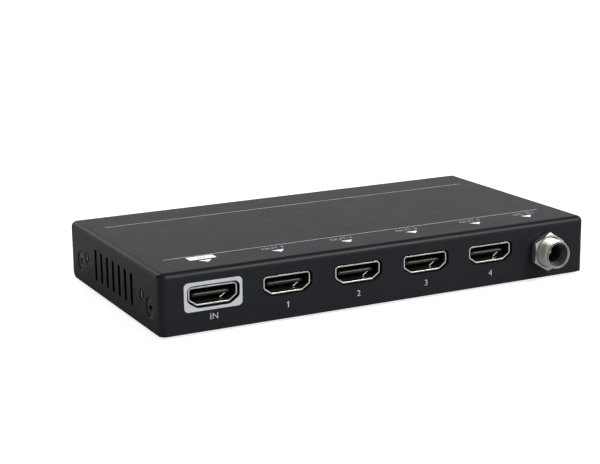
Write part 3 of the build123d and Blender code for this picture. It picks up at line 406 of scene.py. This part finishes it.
# Epoxy-glass laminate under a very dark green mask: satin, with raised tracks that shine through and bare plated dots.
# The tracks are the mortar between long bricks, in rows about track mm apart; some bricks are a little paler. Row height,
# width and length are in units of the pattern, of about rowsPerUnit rows each.
laminate = {
    "track": 0.9, "rowsPerUnit": 6, "rowHeight": 0.17, "trackWidth": 0.035, "trackLength": 1.7, "rowShift": 0.37,
    "squash": 1.6, "paler": 0.25, "rise": 0.03, "dots": 3.2, "dotScatter": 0.7, "dotRadius": 0.12,
    "mask": "#12201a", "copper": "#1b3026", "plated": "#b99a55",
}
pale = (laminate["paler"], laminate["paler"], laminate["paler"], 1)
material, tree, shader, place = startMaterial("maskedEpoxyLaminate", {"IOR": 1.5, "Roughness": 0.38})
runs = addNode(
    tree, "ShaderNodeTexBrick",
    {
        "Scale": 1 / (laminate["track"] * laminate["rowsPerUnit"] * mm),
        "Color1": (0, 0, 0, 1), "Color2": pale, "Mortar": (1, 1, 1, 1),
        "Mortar Size": laminate["trackWidth"], "Brick Width": laminate["trackLength"],
        "Row Height": laminate["rowHeight"],
    },
    {"Vector": place}, offset=laminate["rowShift"], squash=laminate["squash"],
)
spread = {"Scale": 1 / (laminate["dots"] * mm), "Randomness": laminate["dotScatter"]}
dots = addNode(tree, "ShaderNodeTexVoronoi", spread, {"Vector": place})
bareDotsAndSlotShade = addNode(
    tree, "ShaderNodeMath", {1: laminate["dotRadius"]}, {0: dots.outputs["Distance"]}, operation="LESS_THAN",
).outputs[0]
shades = {6: linear(laminate["mask"]), 7: linear(laminate["copper"])}
masked = addNode(tree, "ShaderNodeMix", shades, {0: runs.outputs["Color"]}, data_type="RGBA").outputs[2]
colour = addNode(tree, "ShaderNodeMix", {7: linear(laminate["plated"])}, {0: bareDotsAndSlotShade, 6: masked}, data_type="RGBA")
height = {"Strength": 1.0, "Distance": laminate["rise"] * mm}
raised = addNode(tree, "ShaderNodeBump", height, {"Height": runs.outputs["Color"]})
tree.links.new(colour.outputs[2], shader.inputs["Base Color"])
tree.links.new(bareDotsAndSlotShade, shader.inputs["Metallic"])
tree.links.new(raised.outputs[0], shader.inputs["Normal"])
materials["board_laminate"] = material

# Clear epoxy, cast in a smooth mould: a milky dome that light sinks into
lens = {"tint": "#dfe9dc", "milk": 0.35, "cloud": 0.9, "roughness": (0.08, 0.22)}
material, tree, shader, place = startMaterial("castEpoxyLens", {
    "Base Color": linear(lens["tint"]), "IOR": 1.54, "Transmission Weight": 1 - lens["milk"],
})
haze = addNode(tree, "ShaderNodeTexNoise", {"Scale": 1 / (lens["cloud"] * mm), "Detail": 2.0}, {"Vector": place})
low, high = lens["roughness"]
polish = addNode(tree, "ShaderNodeMapRange", {"To Min": low, "To Max": high}, {"Value": haze.outputs["Fac"]})
tree.links.new(polish.outputs[0], shader.inputs["Roughness"])
materials["light_lens"] = material

slotOf = {part["node"]: part["material_slot"] for part in frame["record"]["subparts"]}
for name, node in nodes.items():
    for index in range(len(node.material_slots)):
        node.material_slots[index].material = materials[slotOf[name]]
print("materials dressed")


# Lengths in mm within which points count as one, and the angle in degrees below which faces look smooth
closing = {"merge": 0.001, "cut": 0.0001, "smooth": 30}


# Closes a new piece: merged, faces outward, riding on the case
def finishPiece(name, bm, material, stands=None):
    bmesh.ops.remove_doubles(bm, verts=bm.verts, dist=closing["merge"] * mm)
    bmesh.ops.recalc_face_normals(bm, faces=bm.faces)
    mesh = bpy.data.meshes.new(name)
    bm.to_mesh(mesh)
    bm.free()
    mesh.shade_smooth()
    mesh.set_sharp_from_angle(angle=radians(closing["smooth"]))
    mesh.materials.append(material)
    piece = bpy.data.objects.new(name, mesh)
    scene.collection.objects.link(piece)
    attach(piece, "case")
    if stands:
        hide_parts(stands)


# Adds one finished bmesh to the bmesh of its piece
def pourInto(bm, part):
    mesh = bpy.data.meshes.new("part")
    part.to_mesh(mesh)
    part.free()
    bm.from_mesh(mesh)
    bpy.data.meshes.remove(mesh)


# Places that turn a flat drawing onto a face of the case: x to the reader's right, y up, z out of the face
def onFront(x, z):
    return Matrix.Translation((x * mm, case["front"] * mm, z * mm)) @ Matrix.Rotation(pi / 2, 4, "X")


def onRear(x, z):
    facing = Matrix.Rotation(pi, 4, "Z") @ Matrix.Rotation(pi / 2, 4, "X")
    return Matrix.Translation((x * mm, case["rear"] * mm, z * mm)) @ facing


def onTop(x, y):
    return Matrix.Translation((x * mm, y * mm, case["top"] * mm))


# Prints: sizes in mm; the points of the 1 are in shares of the capital height
ink = {
    "thickness": 0.012, "capitalShare": 0.682, "spacing": 1.05, "thinning": 0.015,
    "one": ((0.12, -0.5), (0.12, 0.5), (0.0, 0.5), (-0.24, 0.3), (-0.24, 0.14), (-0.05, 0.27), (-0.05, -0.5)),
    "cornerSteps": 8,
}


# Rounds corners of a flat drawing; radius in mm
def roundCorners(flat, corners, radius, steps):
    bmesh.ops.bevel(
        flat, geom=corners, offset=radius * mm, affect="VERTICES", segments=steps, profile=0.5, material=-1,
    )


# A flat patch with rounded corners, in its own bmesh
def roundedPatch(width, height, corner):
    flat = bmesh.new()
    made = bmesh.ops.create_grid(flat, x_segments=1, y_segments=1, size=0.5)["verts"]
    bmesh.ops.scale(flat, vec=(width * mm, height * mm, 1), verts=made)
    if corner:
        roundCorners(flat, made, corner, ink["cornerSteps"])
    return flat


# The points among what an operator gives back
def pointsOf(geometry):
    return [g for g in geometry if isinstance(g, bmesh.types.BMVert)]


# The edges among what an operator gives back
def edgesOf(geometry):
    return [g for g in geometry if isinstance(g, bmesh.types.BMEdge)]


# Gives a flat drawing its thickness, the ink's where none is said, lays it in place and adds it to the piece
def addMark(bm, flat, place, thickness=ink["thickness"]):
    grown = bmesh.ops.extrude_face_region(flat, geom=flat.faces[:], use_keep_orig=True)["geom"]
    bmesh.ops.translate(flat, verts=pointsOf(grown), vec=(0, 0, thickness * mm))
    bmesh.ops.transform(flat, matrix=place, verts=flat.verts)
    pourInto(bm, flat)


# Words with their capital height in mm, centred on their place and raised by proud
def addWords(bm, words, capital, place, proud=0.0):
    text = bpy.data.curves.new("words", "FONT")
    text.body = words
    text.size = capital * mm / ink["capitalShare"]
    text.space_character = ink["spacing"]
    text.offset = -ink["thinning"] * mm
    text.extrude = ink["thickness"] * mm / 2
    holder = bpy.data.objects.new("words", text)
    scene.collection.objects.link(holder)
    bpy.context.view_layer.update()
    mesh = bpy.data.meshes.new_from_object(holder.evaluated_get(bpy.context.evaluated_depsgraph_get()))
    bpy.data.objects.remove(holder)
    bpy.data.curves.remove(text)
    xs = [v.co.x for v in mesh.vertices]
    ys = [v.co.y for v in mesh.vertices]
    back = Vector((-(min(xs) + max(xs)) / 2, -(min(ys) + max(ys)) / 2, (ink["thickness"] / 2 + proud) * mm))
    mesh.transform(place @ Matrix.Translation(back))
    bm.from_mesh(mesh)
    bpy.data.meshes.remove(mesh)


# A figure or word; the font's own 1 has no flag, so the 1 is drawn
def addFigure(bm, figure, capital, place):
    if figure != "1":
        addWords(bm, figure, capital, place)
        return
    flat = bmesh.new()
    flat.faces.new([flat.verts.new((x * capital * mm, y * capital * mm, 0)) for x, y in ink["one"]])
    addMark(bm, flat, place)


# Pale frame round the input socket, cut out to the window, whose places are counted from the socket's middle
frameInk = {"left": -64.45, "right": -46.8, "low": 7.05, "high": 15.45, "corner": 1.3}
window = {
    "half": 7.97, "top": 3.245, "sideEnd": -1.23, "floorHalf": 5.05,
    "squareCorner": 1.65, "squareSteps": 6, "slantCorner": 0.75, "slantSteps": 4,
}
frameX = (frameInk["left"] + frameInk["right"]) / 2
frameZ = (frameInk["low"] + frameInk["high"]) / 2
shiftX, shiftZ = case["socketX"][0] - frameX, case["socketZ"] - frameZ
flat = roundedPatch(frameInk["right"] - frameInk["left"], frameInk["high"] - frameInk["low"], frameInk["corner"])
corners = [(window["half"], window["top"]), (window["half"], window["sideEnd"]), (window["floorHalf"], -window["top"])]
outline = corners + [(-x, z) for x, z in reversed(corners)]
edge = [flat.verts.new(((x + shiftX) * mm, (z + shiftZ) * mm, 0)) for x, z in outline]
flat.faces.new(edge)
square, slanted = [edge[0], edge[-1]], edge[1:-1]
roundCorners(flat, square, window["squareCorner"], window["squareSteps"])
roundCorners(flat, slanted, window["slantCorner"], window["slantSteps"])
bmesh.ops.delete(flat, geom=flat.faces[:], context="FACES_ONLY")
bmesh.ops.triangle_fill(flat, edges=flat.edges[:], use_beauty=True)
bm = bmesh.new()
addMark(bm, flat, onFront(frameX, frameZ))

# Numbers under the sockets
socketMarks = {"capital": 1.75, "z": 5.1, "words": ("IN", "1", "2", "3", "4")}
for words, x in zip(socketMarks["words"], case["socketX"]):
    addFigure(bm, words, socketMarks["capital"], onFront(x, socketMarks["z"]))
finishPiece("front_print", bm, materials["print_ink"])

# Lines, arrows and captions on the top, read from the front; a line is its left end, right end and place in y, and a
# caption its word, its figure or second word, and its middle
topMarks = {
    "lines": ((-64.4, 63.8, -18.7), (-65.1, 64.4, 26.65)), "lineWidth": 0.36,
    "arrowX": (-53.8, -31.0, -8.5, 14.0, 36.75, 55.8), "arrowY": -24.8, "arrowWidth": 3.9, "arrowLength": 2.4,
    "captions": (("OUT", "1", -31.0), ("OUT", "2", -8.5), ("OUT", "3", 14.0), ("OUT", "4", 36.75), ("DC", "IN", 56.2)),
    "captionY": -21.45, "capital": 1.75, "wordShift": -1.3, "figureShift": 2.7,
    "plateX": -53.9, "plateY": -21.2, "plateWidth": 8.3, "plateHeight": 3.4, "plateCorner": 0.3,
    "plateWords": "IN", "plateCapital": 1.65,
}
bm = bmesh.new()
for left, right, y in topMarks["lines"]:
    addMark(bm, roundedPatch(right - left, topMarks["lineWidth"], 0), onTop((left + right) / 2, y))
for word, figure, x in topMarks["captions"]:
    addWords(bm, word, topMarks["capital"], onTop(x + topMarks["wordShift"], topMarks["captionY"]))
    addFigure(bm, figure, topMarks["capital"], onTop(x + topMarks["figureShift"], topMarks["captionY"]))
finishPiece("top_print", bm, materials["print_ink"])

# White arrows that point to the front, and the white plate with its dark words
bm = bmesh.new()
for x in topMarks["arrowX"]:
    flat = bmesh.new()
    made = bmesh.ops.create_circle(flat, cap_ends=True, segments=3, radius=1.0)["verts"]
    bmesh.ops.rotate(flat, verts=made, cent=(0, 0, 0), matrix=Matrix.Rotation(pi, 3, "Z"))
    spanX = max(v.co.x for v in made) - min(v.co.x for v in made)
    spanY = max(v.co.y for v in made) - min(v.co.y for v in made)
    shape = (topMarks["arrowWidth"] * mm / spanX, topMarks["arrowLength"] * mm / spanY, 1)
    bmesh.ops.scale(flat, vec=shape, verts=made)
    addMark(bm, flat, onTop(x, topMarks["arrowY"]))
plate = roundedPatch(topMarks["plateWidth"], topMarks["plateHeight"], topMarks["plateCorner"])
platePlace = onTop(topMarks["plateX"], topMarks["plateY"])
addMark(bm, plate, platePlace)
finishPiece("white_print", bm, materials["whiteInk"])
bm = bmesh.new()
addWords(bm, topMarks["plateWords"], topMarks["plateCapital"], platePlace, proud=ink["thickness"] / 2)
finishPiece("plate_words", bm, materials["darkInk"])

# Numbers over the lights and round the setting switch
rearMarks = {
    "lightX": (57, 49, 41, 33, 25, 17), "lightWords": ("ON", "IN", "1", "2", "3", "4"), "lightZ": 15.2,
    "leverX": (-44.69, -47.23, -49.77, -52.31), "leverWords": ("1", "2", "3", "4"), "leverZ": 7.4,
    "onX": -48.5, "onZ": 15.5, "capital": 1.5,
}
bm = bmesh.new()
for words, x in zip(rearMarks["lightWords"], rearMarks["lightX"]):
    addFigure(bm, words, rearMarks["capital"], onRear(x, rearMarks["lightZ"]))
for words, x in zip(rearMarks["leverWords"], rearMarks["leverX"]):
    addFigure(bm, words, rearMarks["capital"], onRear(x, rearMarks["leverZ"]))
addWords(bm, "ON", rearMarks["capital"], onRear(rearMarks["onX"], rearMarks["onZ"]))
finishPiece("rear_print", bm, materials["print_ink"])
print("prints laid")


# A closed profile of (radius, depth) in mm beside the Y axis, ready to be turned
def drawProfile(bm, profile):
    chain = [bm.verts.new((radius * mm, depth * mm, 0)) for radius, depth in profile]
    return chain + [bm.edges.new(pair) for pair in zip(chain, chain[1:] + chain[:1])]


# Turns a profile into a ring
def turnProfile(bm, profile, steps):
    drawn = drawProfile(bm, profile)
    bmesh.ops.spin(bm, geom=drawn, cent=(0, 0, 0), axis=(0, 1, 0), angle=tau, steps=steps, use_merge=True)


# Threaded barrel of the jack, depths counted inward from its mouth: the thread runs up to the nut and on inside it, and
# its first turns are turned down to a taper. The tooth's foot is sunk into the core by toothSunk.
barrel = {
    "mouthY": -40.25, "bore": 3.6, "mouth": 3.9, "mouthDepth": 0.45, "nose": 4.1, "noseLength": 1.3, "noseRound": 0.05,
    "noseRoundEnd": 0.12, "root": 4.2, "outer": 4.5, "threadEnd": 6.4, "runOut": 0.3, "flangeStart": 7.9,
    "flangeEnd": 9.1, "flange": 5.0, "pitch": 0.5, "crest": 4.48, "crestHalf": 0.04, "toothHalf": 0.25, "toothSunk": 0.15,
    "steps": 96,
}
b = barrel
bm = bmesh.new()
turnProfile(bm, [
    (b["mouth"], 0), (b["nose"] - b["noseRound"], 0), (b["nose"], b["noseRoundEnd"]), (b["root"], b["noseLength"]),
    (b["root"], b["threadEnd"]), (b["outer"], b["threadEnd"] + b["runOut"]), (b["outer"], b["flangeStart"]),
    (b["flange"], b["flangeStart"]), (b["flange"], b["flangeEnd"]), (b["bore"], b["flangeEnd"]),
    (b["bore"], b["mouthDepth"]),
], b["steps"])
# One thread tooth, spun along a helix
foot = b["root"] - b["toothSunk"]
tooth = drawProfile(bm, [
    (foot, b["pitch"] - b["toothHalf"]), (b["crest"], b["pitch"] - b["crestHalf"]),
    (b["crest"], b["pitch"] + b["crestHalf"]), (foot, b["pitch"] + b["toothHalf"]),
])
turns = (b["threadEnd"] - b["pitch"]) / b["pitch"]
bmesh.ops.spin(
    bm, geom=tooth, cent=(0, 0, 0), axis=(0, 1, 0), dvec=(0, b["pitch"] * mm / b["steps"], 0),
    angle=tau * turns, steps=int(turns * b["steps"]),
)
bmesh.ops.holes_fill(bm, edges=[e for e in bm.edges if e.is_boundary], sides=0)
# The taper: whatever stands out of it near the mouth is brought down to it
for vert in bm.verts:
    radius = vert.co.xz.length
    taper = (b["nose"] + (b["outer"] - b["nose"]) * vert.co.y / (b["noseLength"] * mm)) * mm
    if radius > taper:
        vert.co.x *= taper / radius
        vert.co.z *= taper / radius
bmesh.ops.translate(bm, verts=bm.verts, vec=(case["jackX"] * mm, b["mouthY"] * mm, case["jackZ"] * mm))
finishPiece("jack_barrel_threaded", bm, materials["nickel_plate"], stands="jack_barrel")

# Nut of the jack: turned with a sunk bore and sloped shoulders, then its six flats are cut; cornerShare is the width
# across flats as a share of that across corners, and turn is in degrees
nut = {
    "backY": -33.65, "thickness": 2.0, "flats": 10.6, "shoulder": 5.35, "slope": 0.42, "bore": 4.54, "sinkRim": 4.85,
    "sinkDepth": 0.3, "turn": 2.0, "cornerShare": 0.866, "steps": 96,
}
n = nut
bm = bmesh.new()
corner = n["flats"] / 2 / n["cornerShare"]
turnProfile(bm, [
    (n["bore"], 0), (n["shoulder"], 0), (corner, n["slope"]), (corner, n["thickness"] - n["slope"]),
    (n["shoulder"], n["thickness"]), (n["sinkRim"], n["thickness"]), (n["bore"], n["thickness"] - n["sinkDepth"]),
], n["steps"])
bmesh.ops.recalc_face_normals(bm, faces=bm.faces)
for side in range(6):
    aim = Matrix.Rotation(radians(60 * side + n["turn"]), 3, "Y") @ Vector((1, 0, 0))
    cut = bmesh.ops.bisect_plane(
        bm, geom=bm.verts[:] + bm.edges[:] + bm.faces[:], dist=closing["cut"] * mm,
        plane_co=aim * n["flats"] / 2 * mm, plane_no=aim, clear_outer=True,
    )
    bmesh.ops.edgenet_fill(bm, edges=edgesOf(cut["geom_cut"]))
bmesh.ops.scale(bm, vec=(1, -1, 1), verts=bm.verts)
bmesh.ops.translate(bm, verts=bm.verts, vec=(case["jackX"] * mm, n["backY"] * mm, case["jackZ"] * mm))
finishPiece("jack_nut_cut", bm, materials["nickel_plate"], stands="jack_nut")
print("jack turned")

# Small things in each socket: the seam of the folded shell in the lower lip, a painted highlight along the top of the
# tongue's front, and the bent end of the spring on the right-hand slope, which leans up to the light and is painted
# bright as a highlight; places are counted from the socket's middle
socketTrim = {
    "rimY": -32.75, "seamWidth": 0.14, "seamLow": -2.72, "seamHigh": -2.26,
    "edgeY": -31.16, "edgeX": -0.1, "edgeZ": 0.23, "edgeWidth": 9.7, "edgeHeight": 0.22, "edgeCorner": 0.08,
    "springDepth": 3.2, "springFrom": (3.45, -2.05), "springTo": (5.35, -0.80), "springWidth": 0.20, "springThick": 0.10,
    "springLean": 14,
}
t = socketTrim
seams, edgeStrips, springs = bmesh.new(), bmesh.new(), bmesh.new()
ends = Vector(t["springFrom"]), Vector(t["springTo"])
lean, middle = ends[1] - ends[0], (ends[0] + ends[1]) / 2
tilt = Matrix.Rotation(lean.angle_signed(Vector((1, 0))), 4, "Z") @ Matrix.Rotation(radians(-t["springLean"]), 4, "X")
onRim = Matrix.Translation((0, (t["rimY"] - case["front"]) * mm, 0))
onTongue = Matrix.Translation((0, (t["edgeY"] - case["front"]) * mm, 0))
onSpring = onRim @ Matrix.Translation((0, t["springDepth"] * mm, 0))
for x in case["socketX"]:
    place = onRim @ onFront(x, case["socketZ"] + (t["seamLow"] + t["seamHigh"]) / 2)
    addMark(seams, roundedPatch(t["seamWidth"], t["seamHigh"] - t["seamLow"], 0), place)
    # Paler strip on the tongue's front edge: a painted highlight
    place = onTongue @ onFront(x + t["edgeX"], case["socketZ"] + t["edgeZ"])
    addMark(edgeStrips, roundedPatch(t["edgeWidth"], t["edgeHeight"], t["edgeCorner"]), place)
    place = onSpring @ onFront(x + middle.x, case["socketZ"] + middle.y)
    addMark(springs, roundedPatch(lean.length, t["springWidth"], 0), place @ tilt, t["springThick"])
finishPiece("shell_seams", seams, materials["jack_plastic"])
finishPiece("tongue_edges", edgeStrips, materials["tongueEdgeHighlight"])
# The springs' pale finish is a painted highlight
finishPiece("shell_springs", springs, materials["springGlint"])
print("sockets trimmed")

# Countersunk side screws with a cross recess, whose arms narrow to armTaper of their width; turns in degrees
screw = {
    "head": 2.7, "rim": 0.12, "coneEnd": 1.5, "coneDepth": 1.2, "length": 5.0, "faceX": 71.2, "z": 7.7,
    "y": (-25.55, 32.45), "armWidth": 0.78, "armReach": 1.5, "armTaper": 0.82, "recessDepth": 1.1, "recessShare": 0.5,
    "turns": (12, 57, 34, 78), "steps": 56,
}
bm = bmesh.new()
places = [(side, y) for side in (-1, 1) for y in screw["y"]]
for (side, y), turn in zip(places, screw["turns"]):
    head = bmesh.new()
    bmesh.ops.create_grid(head, x_segments=1, y_segments=1, size=screw["armWidth"] / 2 * mm)
    armLength, taper = screw["armReach"] - screw["armWidth"] / 2, screw["armTaper"]
    for edge in head.edges[:]:
        outward = sum((v.co for v in edge.verts), Vector()).normalized()
        tip = pointsOf(bmesh.ops.extrude_edge_only(head, edges=[edge])["geom"])
        bmesh.ops.translate(head, verts=tip, vec=outward * armLength * mm)
        bmesh.ops.scale(head, vec=(taper if outward.y else 1, taper if outward.x else 1, 1), verts=tip)
    pit = pointsOf(bmesh.ops.extrude_face_region(head, geom=head.faces[:])["geom"])
    bmesh.ops.scale(head, vec=(screw["recessShare"], screw["recessShare"], 1), verts=pit)
    bmesh.ops.translate(head, verts=pit, vec=(0, 0, -screw["recessDepth"] * mm))
    flatRadius = (screw["head"] - screw["rim"]) * mm
    rim = bmesh.ops.create_circle(head, cap_ends=False, segments=screw["steps"], radius=flatRadius)["verts"]
    loop = list({e for v in rim for e in v.link_edges})
    crossLoop = [e for e in head.edges if e.is_boundary and e not in loop]
    bmesh.ops.triangle_fill(head, edges=loop + crossLoop, use_beauty=True)
    shank = ((screw["head"], screw["rim"]), (screw["coneEnd"], screw["coneDepth"]), (screw["coneEnd"], screw["length"]))
    for radius, depth in shank:
        grown = bmesh.ops.extrude_edge_only(head, edges=loop)["geom"]
        verts, loop = pointsOf(grown), edgesOf(grown)
        share = radius * mm / verts[0].co.xy.length
        bmesh.ops.scale(head, vec=(share, share, 1), verts=verts)
        bmesh.ops.translate(head, verts=verts, vec=(0, 0, -depth * mm - verts[0].co.z))
    bmesh.ops.holes_fill(head, edges=loop, sides=0)
    lay = (
        Matrix.Translation((side * screw["faceX"] * mm, y * mm, screw["z"] * mm))
        @ Matrix.Rotation(side * pi / 2, 4, "Y")
        @ Matrix.Rotation(radians(turn), 4, "Z")
    )
    bmesh.ops.transform(head, matrix=lay, verts=head.verts)
    pourInto(bm, head)
finishPiece("side_screws_crossed", bm, materials["black_steel"], stands="side_screws")
print("side screws made")

# Mouths of the pressed nuts, seen deep in the ear holes: thin turned rings of plated steel
sleeve = {"radius": 1.69, "wall": 0.09, "start": 0.45, "end": 0.95, "y": (-19.55, 26.45), "z": 10.0, "steps": 48}
s = sleeve
bm = bmesh.new()
for side in (-1, 1):
    for y in s["y"]:
        ring = bmesh.new()
        turnProfile(ring, [
            (s["radius"], s["start"]), (s["radius"], s["end"]),
            (s["radius"] - s["wall"], s["end"]), (s["radius"] - s["wall"], s["start"] + s["wall"]),
        ], s["steps"])
        place = Matrix.Translation((side * case["side"] * mm, y * mm, s["z"] * mm))
        bmesh.ops.transform(ring, matrix=place @ Matrix.Rotation(side * pi / 2, 4, "Z"), verts=ring.verts)
        pourInto(bm, ring)
finishPiece("ear_sleeves", bm, materials["zinc_steel"])
print("ear sleeves made")
